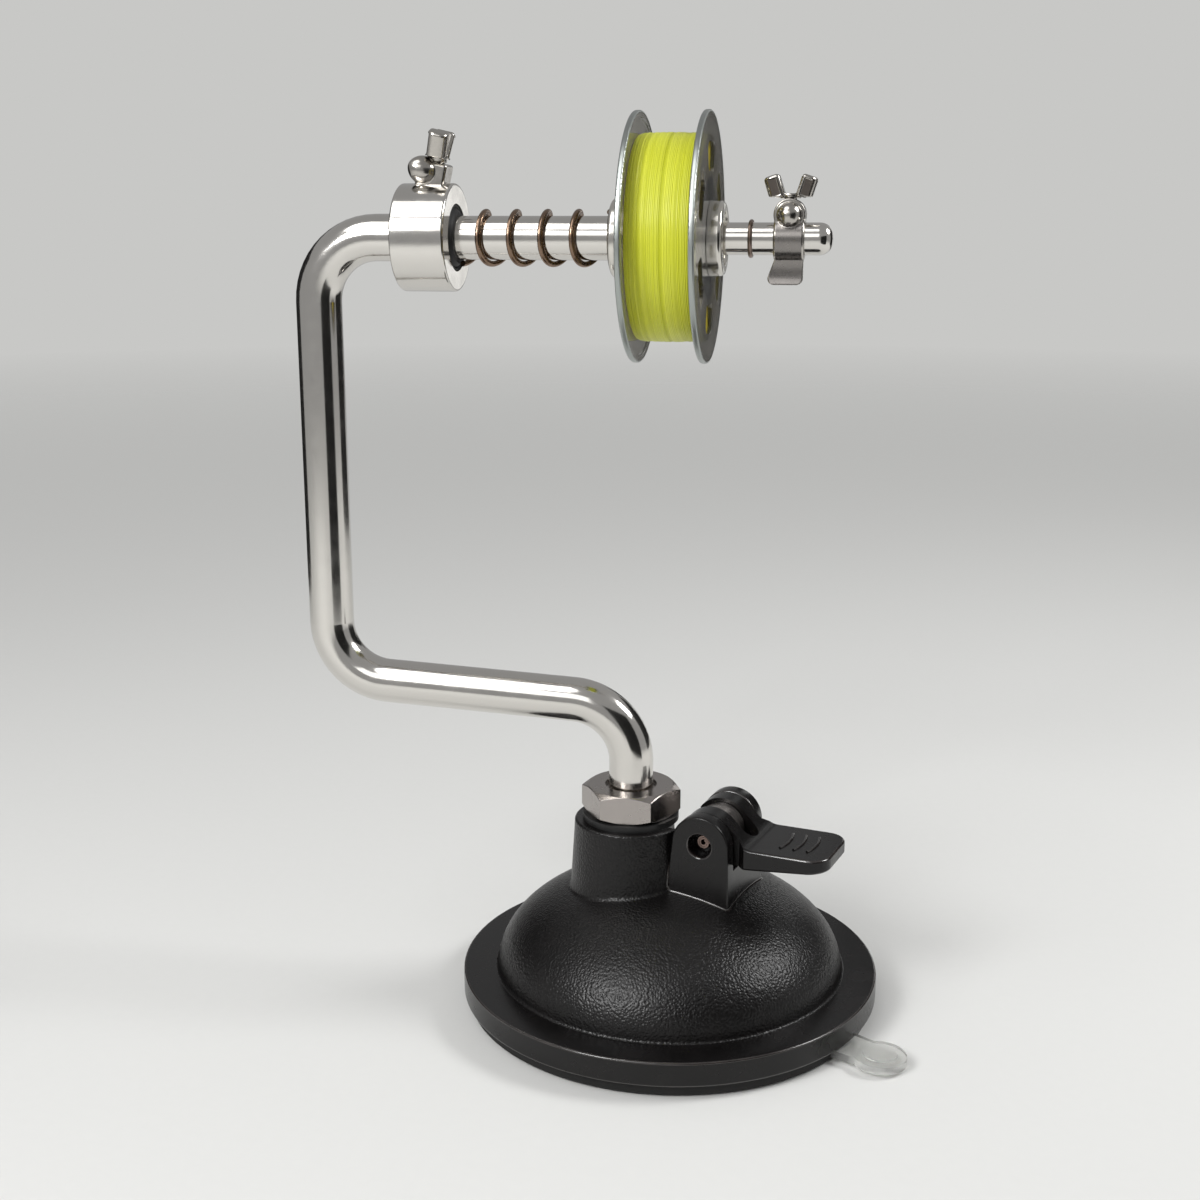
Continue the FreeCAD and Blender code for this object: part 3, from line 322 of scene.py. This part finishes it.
# castings polished by hand, with short broken highlights
cast_steel = metal("polished_casting", "#b9b5af", 0.18, 1.5 * MM)
# the wings' recessed pockets, dark and dull against their polished borders
blasted_steel = metal("blasted_casting", "#5d5752", 0.42, 0.5 * MM)
# the stop's band and paddle, between polished and dull, and painted darker for the dark surroundings
# they reflect
satin_painted_darker = metal("satin_casting_painted_darker", "#8a8683", 0.24, 1.0 * MM)
# copper-toned wire, so the spring stands out from the spindle behind it
warm_wire = metal("warm_spring_wire", "#86705f", 0.22, 1.0 * MM)
# the retaining ring, a little greyer than the spring
ring_wire = metal("dull_ring_wire", "#8b7a70", 0.26, 1.0 * MM)
# pale turned aluminium, the brightest metal of the row
bush_metal = metal("turned_aluminium", "#d6d3cc", 0.14)
# the flanges' clear outer rims, painted as satin metal for a highlight that catches one soft grey line
rim_highlight_metal = metal("rim_painted_highlight_metal", "#a9aeab", 0.30)
# the lever's pin, a darker brownish steel, down in its hole
dark_steel = metal("brownish_pin_steel", "#83716a", 0.30)
# hidden pieces, each in the colour of its own metal
brass = metal("turned_brass", "#c9a25a", 0.22)
bronze = metal("sintered_bronze", "#a8743c", 0.38)
zinc = metal("zinc_plated_steel", "#b4b6b8", 0.34)


# ---------------------------------------------------------------- clear plastics and line

# clear soft vinyl with a faint milky cloud, so the tab shows mostly by its edge
tab_clear = mottled(
    "clear_vinyl", blotch=5 * MM, colours=("#fafaf8", "#f0f1ee"), roughness=(0.03, 0.09),
    grain=2.0 * MM, depth=0.02 * MM, strength=0.4, Transmission_Weight=0.88, IOR=1.45)

# smoke-tinted polycarbonate, so the flanges darken what lies behind them
spool_clear = mottled(
    "smoky_polycarbonate", blotch=8 * MM, colours=("#b9b6ae", "#a8a49b"), roughness=(0.07, 0.12),
    grain=2 * MM, depth=0.01 * MM, strength=0.3, Transmission_Weight=0.9, IOR=1.55)

# the winding's flat ends, with painted shade: deeper and amber, as where light has come through the
# coils
line_end_amber_shade = mottled(
    "line_ends_painted_shade", blotch=0.5 * MM, colours=("#8f7a08", "#c2b41c"), roughness=(0.35, 0.5),
    grain=0.5 * MM, depth=0.05 * MM, strength=0.6, Specular_IOR_Level=0.5)

STRAND_PITCH = 0.7143 * MM  # about two turns of the line, as one turn is too fine to show
STRAND_DEPTH = 0.04 * MM


def nylon_line():
    """Fluorescent nylon monofilament laid in close turns, so the winding shows fine strands."""
    finish, tree, shader, where = start_finish("fluorescent_nylon_line", Specular_IOR_Level=0.6)
    along = add(tree, "ShaderNodeSeparateXYZ", {"Vector": where}).outputs["X"]
    strands = add(tree, "ShaderNodeTexNoise", {"W": along},
                  {"Scale": BLOTCH / STRAND_PITCH, "Detail": 3.0},
                  noise_dimensions="1D").outputs["Fac"]
    vary(tree, shader.inputs["Base Color"], strands, ("#b7bc14", "#d6da3c"))
    vary(tree, shader.inputs["Roughness"], strands, (0.46, 0.34))
    bump = add(tree, "ShaderNodeBump", {"Height": strands},
               {"Strength": 0.5, "Distance": STRAND_DEPTH})
    tree.links.new(bump.outputs["Normal"], shader.inputs["Normal"])
    return finish


line_yellow = nylon_line()


# ---------------------------------------------------------------- pieces kept as the solids are

node_finish = {
    "boss_insert": brass, "lift_plate": zinc, "lift_stem": satin_steel,
    "lever_pin": dark_steel, "arm_tube": bright_steel, "nut_washer": washer_black,
    "foot_circlip": satin_steel, "journal_circlip": satin_steel, "collar_seal": seal_black,
    "journal_sleeve": bronze, "brake_pad": washer_black, "spindle": bright_steel,
    "wire_ring": ring_wire,
}
for node, finish in node_finish.items():
    for slot in nodes[node].material_slots:
        slot.material = finish


# ---------------------------------------------------------------- base

DOME_SLACK = 0.012                      # how far off the dome's curve a face may lie, as a share
DOME_FOOT_BAND = (0.05 * MM, 1.2 * MM)  # heights over the flange of the round at the dome's foot
DOME_FOOT_REACH = 1.03                  # how far out that round goes, in the dome's radii
BOSS_WALL = (15.0 * MM, 18.5 * MM)      # the boss's wall and foot lie between these radii
BOSS_WALL_FOOT_Z = 28.0 * MM
STEEP = 0.9                             # a face whose normal rises less than this isn't a top
RIM_TURN = (0.12, 0.99)                 # rise of the normals on the flange's rounded edges
RIM_CUTS = 4                            # rings of points in each rounding
RIM_SLACK = 0.02 * MM
PAD_EDGE_TURN = (0.2, 0.97)             # rise of the normals on the pad's rounded edges


def is_grained(face):
    """True on the dome, round its foot and on the boss, which have the mould's grain."""
    middle = face.center
    over_flange = middle.z - FLANGE_TOP_Z
    outward = math.hypot(middle.x, middle.y) / DOME_FOOT_RADIUS
    upward = over_flange / DOME_RISE
    on_dome = upward > 0 and abs(math.hypot(outward, upward) - 1) < DOME_SLACK
    from_boss = math.hypot(middle.x - BOSS_X, middle.y)
    on_boss = (BOSS_WALL[0] < from_boss < BOSS_WALL[1] and middle.z > BOSS_WALL_FOOT_Z
               and abs(face.normal.z) < STEEP)
    at_foot = (DOME_FOOT_BAND[0] < over_flange < DOME_FOOT_BAND[1]
               and outward < DOME_FOOT_REACH)
    return on_dome or on_boss or at_foot


def on_flange_rim(face):
    """True on the rounded outer edges of the flange."""
    outward = math.hypot(face.center.x, face.center.y)
    return (outward > FLANGE_RADIUS - FLANGE_ROUND
            and RIM_TURN[0] < abs(face.normal.z) < RIM_TURN[1])


def housing_finish(face):
    """Rubbed glossy and painted paler as a highlight on the rounded edges; grained on dome and boss,
    else smooth.
    """
    if face.material_index == ROUNDED or on_flange_rim(face):
        return edge_highlight_black
    return dome_black if is_grained(face) else smooth_black


def lever_finish(face):
    """Rubbed glossy and painted paler as a highlight on the thumb pad's rounded edges, and smooth
    elsewhere.
    """
    turning = PAD_EDGE_TURN[0] < abs(face.normal.z) < PAD_EDGE_TURN[1]
    return edge_highlight_black if face.center.x > PAD_START_X and turning else smooth_black


def even_rim(piece, low, high):
    """Takes the solid's uneven strips off the flange's edge between two heights, and rounds it anew."""
    inner = FLANGE_RADIUS - FLANGE_ROUND - RIM_SLACK
    work_on(piece)
    bpy.ops.object.mode_set(mode="EDIT")
    bpy.ops.mesh.select_mode(type="FACE")
    bpy.ops.mesh.select_all(action="DESELECT")
    bpy.ops.object.mode_set(mode="OBJECT")
    for face in piece.data.polygons:
        place = face.center
        in_strip = low - RIM_SLACK < place.z < high + RIM_SLACK
        face.select = in_strip and math.hypot(place.x, place.y) > inner
    bpy.ops.object.mode_set(mode="EDIT")
    bpy.ops.mesh.delete(type="FACE")
    bpy.ops.mesh.select_mode(type="EDGE")
    bpy.ops.mesh.select_all(action="DESELECT")
    bpy.ops.mesh.select_non_manifold(extend=False, use_wire=False, use_boundary=True,
                                     use_multi_face=False, use_non_contiguous=False,
                                     use_verts=False)
    bpy.ops.mesh.bridge_edge_loops(type="PAIRS", number_cuts=RIM_CUTS, interpolation="SURFACE",
                                   smoothness=1.0)
    bpy.ops.mesh.select_mode(type="VERT")
    bpy.ops.object.mode_set(mode="OBJECT")


def even_flange_rims(piece):
    """Gives the flange's top and bottom outer edges one even rounding each."""
    even_rim(piece, FLANGE_TOP_Z - FLANGE_ROUND, FLANGE_TOP_Z)
    even_rim(piece, FLANGE_FOOT_Z, FLANGE_FOOT_Z + FLANGE_ROUND)


finished_copy("base_housing", housing_finish, edge=0.4 * MM, corner=60.0, smooth=52.0,
              mend=even_flange_rims)
finished_copy("cam_lever", lever_finish)
finished_copy("suction_cup", rubber_black, edge=0.3 * MM)
finished_copy("release_tab", tab_clear, edge=0.25 * MM)


# ---------------------------------------------------------------- nut, collar, stop and bushes

STOP_NOSE_RISE = 4 * MM
NOSE_START_Z = SPINDLE_Z + STOP_NOSE_RISE
PADDLE_TOP_Z = SPINDLE_Z - STOP_BAND_RADIUS
BAND_FACING = 0.2      # the band's faces look along the spindle less than this
PADDLE_FACING = 0.93   # the paddle's broad faces look sideways more than this


def stop_finish(face):
    """Satin with a painted dark reflection on the stop's band and the paddle's two broad faces, else
    polished.
    """
    height = face.center.z
    on_band = abs(face.normal.x) < BAND_FACING and height > PADDLE_TOP_Z
    on_paddle = abs(face.normal.y) > PADDLE_FACING and height <= PADDLE_TOP_Z
    return satin_painted_darker if height < NOSE_START_Z and (on_band or on_paddle) else cast_steel


finished_copy("hex_nut", satin_steel, edge=0.12 * MM, corner=20.0, smooth=16.0)
finished_copy("shaft_collar", bright_steel, edge=0.15 * MM)
finished_copy("collar_screw_boss", cast_steel, edge=0.35 * MM)
finished_copy("stop_collar", stop_finish, edge=0.3 * MM, corner=60.0, smooth=52.0)
finished_copy("left_bush", bush_metal, edge=0.15 * MM)
finished_copy("right_bush", bush_metal, edge=0.15 * MM)


# ---------------------------------------------------------------- drag spring

def sprung_spring():
    """The spring, smooth-shaded and painted, fixed where its solid lies."""
    spring = merged_copy("drag_spring")
    soften(spring, edge=0.0, corner=0.0, smooth=60.0)
    paint(spring, warm_wire)
    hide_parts("drag_spring")
    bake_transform(spring)


sprung_spring()


# ---------------------------------------------------------------- wing screws

SCREW_BOSS_FOOT = (-63.2 * MM, 0.0, 219.6 * MM)
SCREW_BOSS_HEIGHT = 5.3 * MM
BRAKE_LEAN = 13.0
BRAKE_TURN = 96.0
STOP_CROWN = (28.1 * MM, 0.0, 215.7 * MM)

# each seat is where its screw's own origin lies, with the shank along z and the wings along x
BRAKE_SEAT = (
    Matrix.Translation(SCREW_BOSS_FOOT)
    @ Matrix.Rotation(math.radians(BRAKE_LEAN), 4, "Y")
    @ Matrix.Translation((0.0, 0.0, SCREW_BOSS_HEIGHT))
    @ Matrix.Rotation(math.radians(BRAKE_TURN), 4, "Z")
)
STOP_SEAT = Matrix.Translation(STOP_CROWN)

POCKET_REACH_Y = 2.3 * MM  # the wings' broad sides lie nearer to their middle than this
POCKET_START_X = 1.6 * MM
POCKET_START_Z = 1.2 * MM
POCKET_FACING = 0.95       # a pocket's floor looks sideways more than this


def finished_wing_screw(node, seat):
    """A cast wing screw: polished all over but for the blasted pockets in its wings."""
    to_own = seat.inverted()

    def screw_finish(face):
        own = to_own @ face.center
        across = (to_own.to_3x3() @ face.normal).y
        in_wing = abs(own.x) > POCKET_START_X and own.z > POCKET_START_Z
        on_side = abs(own.y) < POCKET_REACH_Y and abs(across) > POCKET_FACING
        return blasted_steel if in_wing and on_side else cast_steel

    finished_copy(node, screw_finish, edge=0.28 * MM)


finished_wing_screw("brake_wing_screw", BRAKE_SEAT)
finished_wing_screw("stop_wing_screw", STOP_SEAT)


# ---------------------------------------------------------------- spool

def spool_finish(face):
    """Satin metal on the flange's rim as a painted highlight, and smoky clear inside it."""
    from_spindle = math.hypot(face.center.y, face.center.z - SPINDLE_Z)
    return rim_highlight_metal if from_spindle > SPOOL_RIM_RADIUS else spool_clear


for side in ("left", "right"):
    finished_copy("spool_" + side + "_half", spool_finish, edge=0.12 * MM, corner=60.0)


# ---------------------------------------------------------------- wound line

STRANDS = 46
STRAND_WIDTHS = (0.6, 1.4)  # narrowest and widest strand, in shares of the middling one
STRAND_BULGE = 0.3          # how far a strand stands out, as a share of its width
STRAND_CROWN = ((0.12, 0.1), (0.35, 0.85), (0.65, 0.85), (0.88, 0.1))  # shares across and out
SHOULDER_DROP = 0.6 * MM    # how far the winding's two end walls stay below its top
END_DROP = 0.45 * MM        # how far the strands by the flanges have slipped inwards
END_START = 0.75            # where that slip starts, as a share of the way to a flange
DRIFT_KEPT = 0.6            # share of a strand's rise that the next one keeps
DRIFT_STEP = 0.07 * MM
DRIFT_TOP = 0.05 * MM
SPIN_STEPS = 128
SPIN_MERGE_REACH = 0.002 * MM
STRAND_SMOOTH = 60.0
END_FACING = 0.97           # the winding's flat ends look along the spindle more than this


def line_finish(face):
    """Painted amber shade on the winding's flat ends, and yellow all round."""
    return line_end_amber_shade if abs(face.normal.x) > END_FACING else line_yellow


def wound_line():
    """The winding: strand after strand drawn as one outline, then spun round the spindle."""
    widths = [random.uniform(*STRAND_WIDTHS) for strand in range(STRANDS)]
    unit = (LINE_RIGHT - LINE_LEFT) / sum(widths)
    bulge = unit * STRAND_BULGE
    at = Vector((LINE_LEFT, 0.0, SPINDLE_Z + CORE_RADIUS))
    winding = new_square("line_winding_strands", 1 * MM, at)
    bpy.ops.object.transform_apply(location=True, rotation=True, scale=True)
    bpy.ops.object.mode_set(mode="EDIT")
    bpy.ops.mesh.merge(type="CENTER")

    def draw_to(x, radius):
        target = Vector((x, 0.0, SPINDLE_Z + radius))
        step = target - at
        bpy.ops.mesh.extrude_region_move(TRANSFORM_OT_translate={"value": step})
        at[:] = target

    drift = 0.0
    left = LINE_LEFT
    draw_to(LINE_LEFT, LINE_RADIUS - SHOULDER_DROP)
    for strand, width in enumerate(widths):
        outward = abs(strand + 0.5 - STRANDS / 2) / (STRANDS / 2)
        slip = END_DROP * max(0.0, outward - END_START) / (1 - END_START)
        drift = DRIFT_KEPT * drift + random.uniform(-DRIFT_STEP, DRIFT_STEP)
        level = LINE_RADIUS - bulge - slip + min(drift, DRIFT_TOP)
        for share, rise in STRAND_CROWN:
            draw_to(left + share * width * unit, level + rise * width * bulge)
        left += width * unit
    draw_to(LINE_RIGHT, LINE_RADIUS - SHOULDER_DROP)
    draw_to(LINE_RIGHT, CORE_RADIUS)
    bpy.ops.mesh.select_all(action="SELECT")
    bpy.ops.mesh.spin(steps=SPIN_STEPS, angle=math.tau, center=(0.0, 0.0, SPINDLE_Z),
                      axis=(1.0, 0.0, 0.0))
    bpy.ops.mesh.select_all(action="SELECT")
    bpy.ops.mesh.remove_doubles(threshold=SPIN_MERGE_REACH)
    bpy.ops.mesh.normals_make_consistent(inside=False)
    bpy.ops.object.mode_set(mode="OBJECT")
    bpy.ops.object.shade_smooth_by_angle(angle=math.radians(STRAND_SMOOTH))
    paint(winding, line_finish)
    stand_for(winding, "line_winding")


wound_line()


# ---------------------------------------------------------------- floor

FLOOR_SIZE = 6.0
FLOOR_Z = -0.2 * MM  # just under the rubber's rim
FADE_RADIUS = 2.4
FADE = (0.15, 0.95)  # where the floor starts to fade and where it is gone, in fade radii
FIBRE_WIDTH = 1.5 * MM


def pale_paper():
    """Matt pale paper that fades into the backdrop, so only a soft shadow marks the ground."""
    finish, tree, shader, where = start_finish("pale_paper", Specular_IOR_Level=0.2)
    fibre = add(tree, "ShaderNodeTexNoise", {"Vector": where},
                {"Scale": BLOTCH / FIBRE_WIDTH, "Detail": 3.0}).outputs["Fac"]
    vary(tree, shader.inputs["Base Color"], fibre, ("#d3d3d1", "#d4d4d2"))
    vary(tree, shader.inputs["Roughness"], fibre, (0.85, 0.9))
    outward = add(tree, "ShaderNodeVectorMath", {0: where}, operation="LENGTH").outputs["Value"]
    share = add(tree, "ShaderNodeMath", {0: outward}, {1: FADE_RADIUS},
                operation="DIVIDE").outputs["Value"]
    vary(tree, shader.inputs["Alpha"], share, (1.0, 0.0), FADE)
    return finish


floor = new_square("floor", FLOOR_SIZE, (0.0, 0.0, FLOOR_Z))
floor.data.materials.append(pale_paper())


# ---------------------------------------------------------------- lamps

OBJECT_MIDDLE = Vector((0.0, 0.0, 0.10))
SUN_PLACE = (-0.5, -0.4, 1.2)
SUN_TURN = (24.0, -22.0, 0.0)
SUN_SPREAD = 35.0


def soft_box(name, place, width, height, power):
    """A rectangular lamp at this place, turned towards the object."""
    bpy.ops.object.light_add(type="AREA", location=place)
    box = bpy.context.object
    box.name = name
    box.rotation_euler = (OBJECT_MIDDLE - Vector(place)).to_track_quat("-Z", "Y").to_euler()
    box.data.shape = "RECTANGLE"
    box.data.size = width
    box.data.size_y = height
    box.data.energy = power


soft_box("dome_left_box", (-0.39, -0.58, 0.55), width=0.26, height=0.26, power=3.7)
soft_box("dome_right_box", (0.61, 0.14, 0.61), width=0.26, height=0.26, power=3.5)
soft_box("front_box", (-0.30, -0.95, 0.70), width=0.80, height=0.45, power=1.7)

bpy.ops.object.light_add(type="SUN", location=SUN_PLACE,
                         rotation=[math.radians(turn) for turn in SUN_TURN])
overhead = bpy.context.object
overhead.name = "overhead_softlight"
overhead.data.energy = 0.78
overhead.data.angle = math.radians(SUN_SPREAD)


# ---------------------------------------------------------------- studio cards

CARD_CLOUD = 0.2  # width of the card's faint darker patches


def card(name, finish, place, turn, width, height):
    """An upright card that only reflections show: black ones darken them, white ones light them."""
    board = new_square(name, 1.0, place, (math.radians(90), 0.0, math.radians(turn)))
    board.scale = (width, height, 1.0)
    board.visible_camera = False
    board.visible_diffuse = False
    board.visible_shadow = False
    board.visible_transmission = False
    board.data.materials.append(finish)


def lit_card():
    """White card that shines a little, so the collar's polished face has something pale to show."""
    finish, tree, shader, where = start_finish("lit_white_card", Emission_Strength=0.45,
                                               Emission_Color=ink("#ffffff"))
    cloud = add(tree, "ShaderNodeTexNoise", {"Vector": where},
                {"Scale": BLOTCH / CARD_CLOUD, "Detail": 3.0}).outputs["Fac"]
    vary(tree, shader.inputs["Base Color"], cloud, ("#e6e6e4", "#ececea"))
    return finish


black_felt = plain_black("black_felt", "#0a0a0a", 0.9)
white_card = lit_card()
card("right_front_flag", black_felt, (0.216, -0.252, 0.15), turn=51.0, width=0.34, height=0.32)
card("right_back_flag", black_felt, (0.40, 0.42, 0.20), turn=-45.0, width=0.50, height=0.40)
card("left_back_flag", black_felt, (-0.50, 0.25, 0.20), turn=60.0, width=0.50, height=0.40)
card("collar_card", white_card, (0.225, 0.80, 0.24), turn=0.0, width=0.16, height=0.34)
card("flange_flag", black_felt, (0.08, 0.80, 0.24), turn=0.0, width=0.12, height=0.34)


# ---------------------------------------------------------------- backdrop and camera

world = bpy.data.worlds.new("studio")
bpy.context.scene.world = world
world.use_nodes = True
air = world.node_tree
light = air.nodes["Background"]
light.inputs["Color"].default_value = ink("#ffffff")
light.inputs["Strength"].default_value = 0.35
seen = add(air, "ShaderNodeBackground", values={"Color": ink("#c8c8c6"), "Strength": 1.0})
by_camera = add(air, "ShaderNodeLightPath").outputs["Is Camera Ray"]
backdrop = add(air, "ShaderNodeMixShader", {0: by_camera, 1: light.outputs[0], 2: seen.outputs[0]})
air.links.new(backdrop.outputs[0], air.nodes["World Output"].inputs[0])

CAMERA_PLACE = (0.0594, -0.4066, 0.2125)
CAMERA_DIP = 13.64
CAMERA_TURN = 11.0

bpy.ops.object.camera_add(
    location=CAMERA_PLACE,
    rotation=(math.radians(90 - CAMERA_DIP), 0.0, math.radians(CAMERA_TURN)))
camera = bpy.context.object
camera.name = "studio_camera"
camera.data.lens = 48.0
camera.data.sensor_width = 36.0
camera.data.clip_start = 0.01
bpy.context.scene.camera = camera
bpy.context.scene.view_settings.view_transform = "Standard"
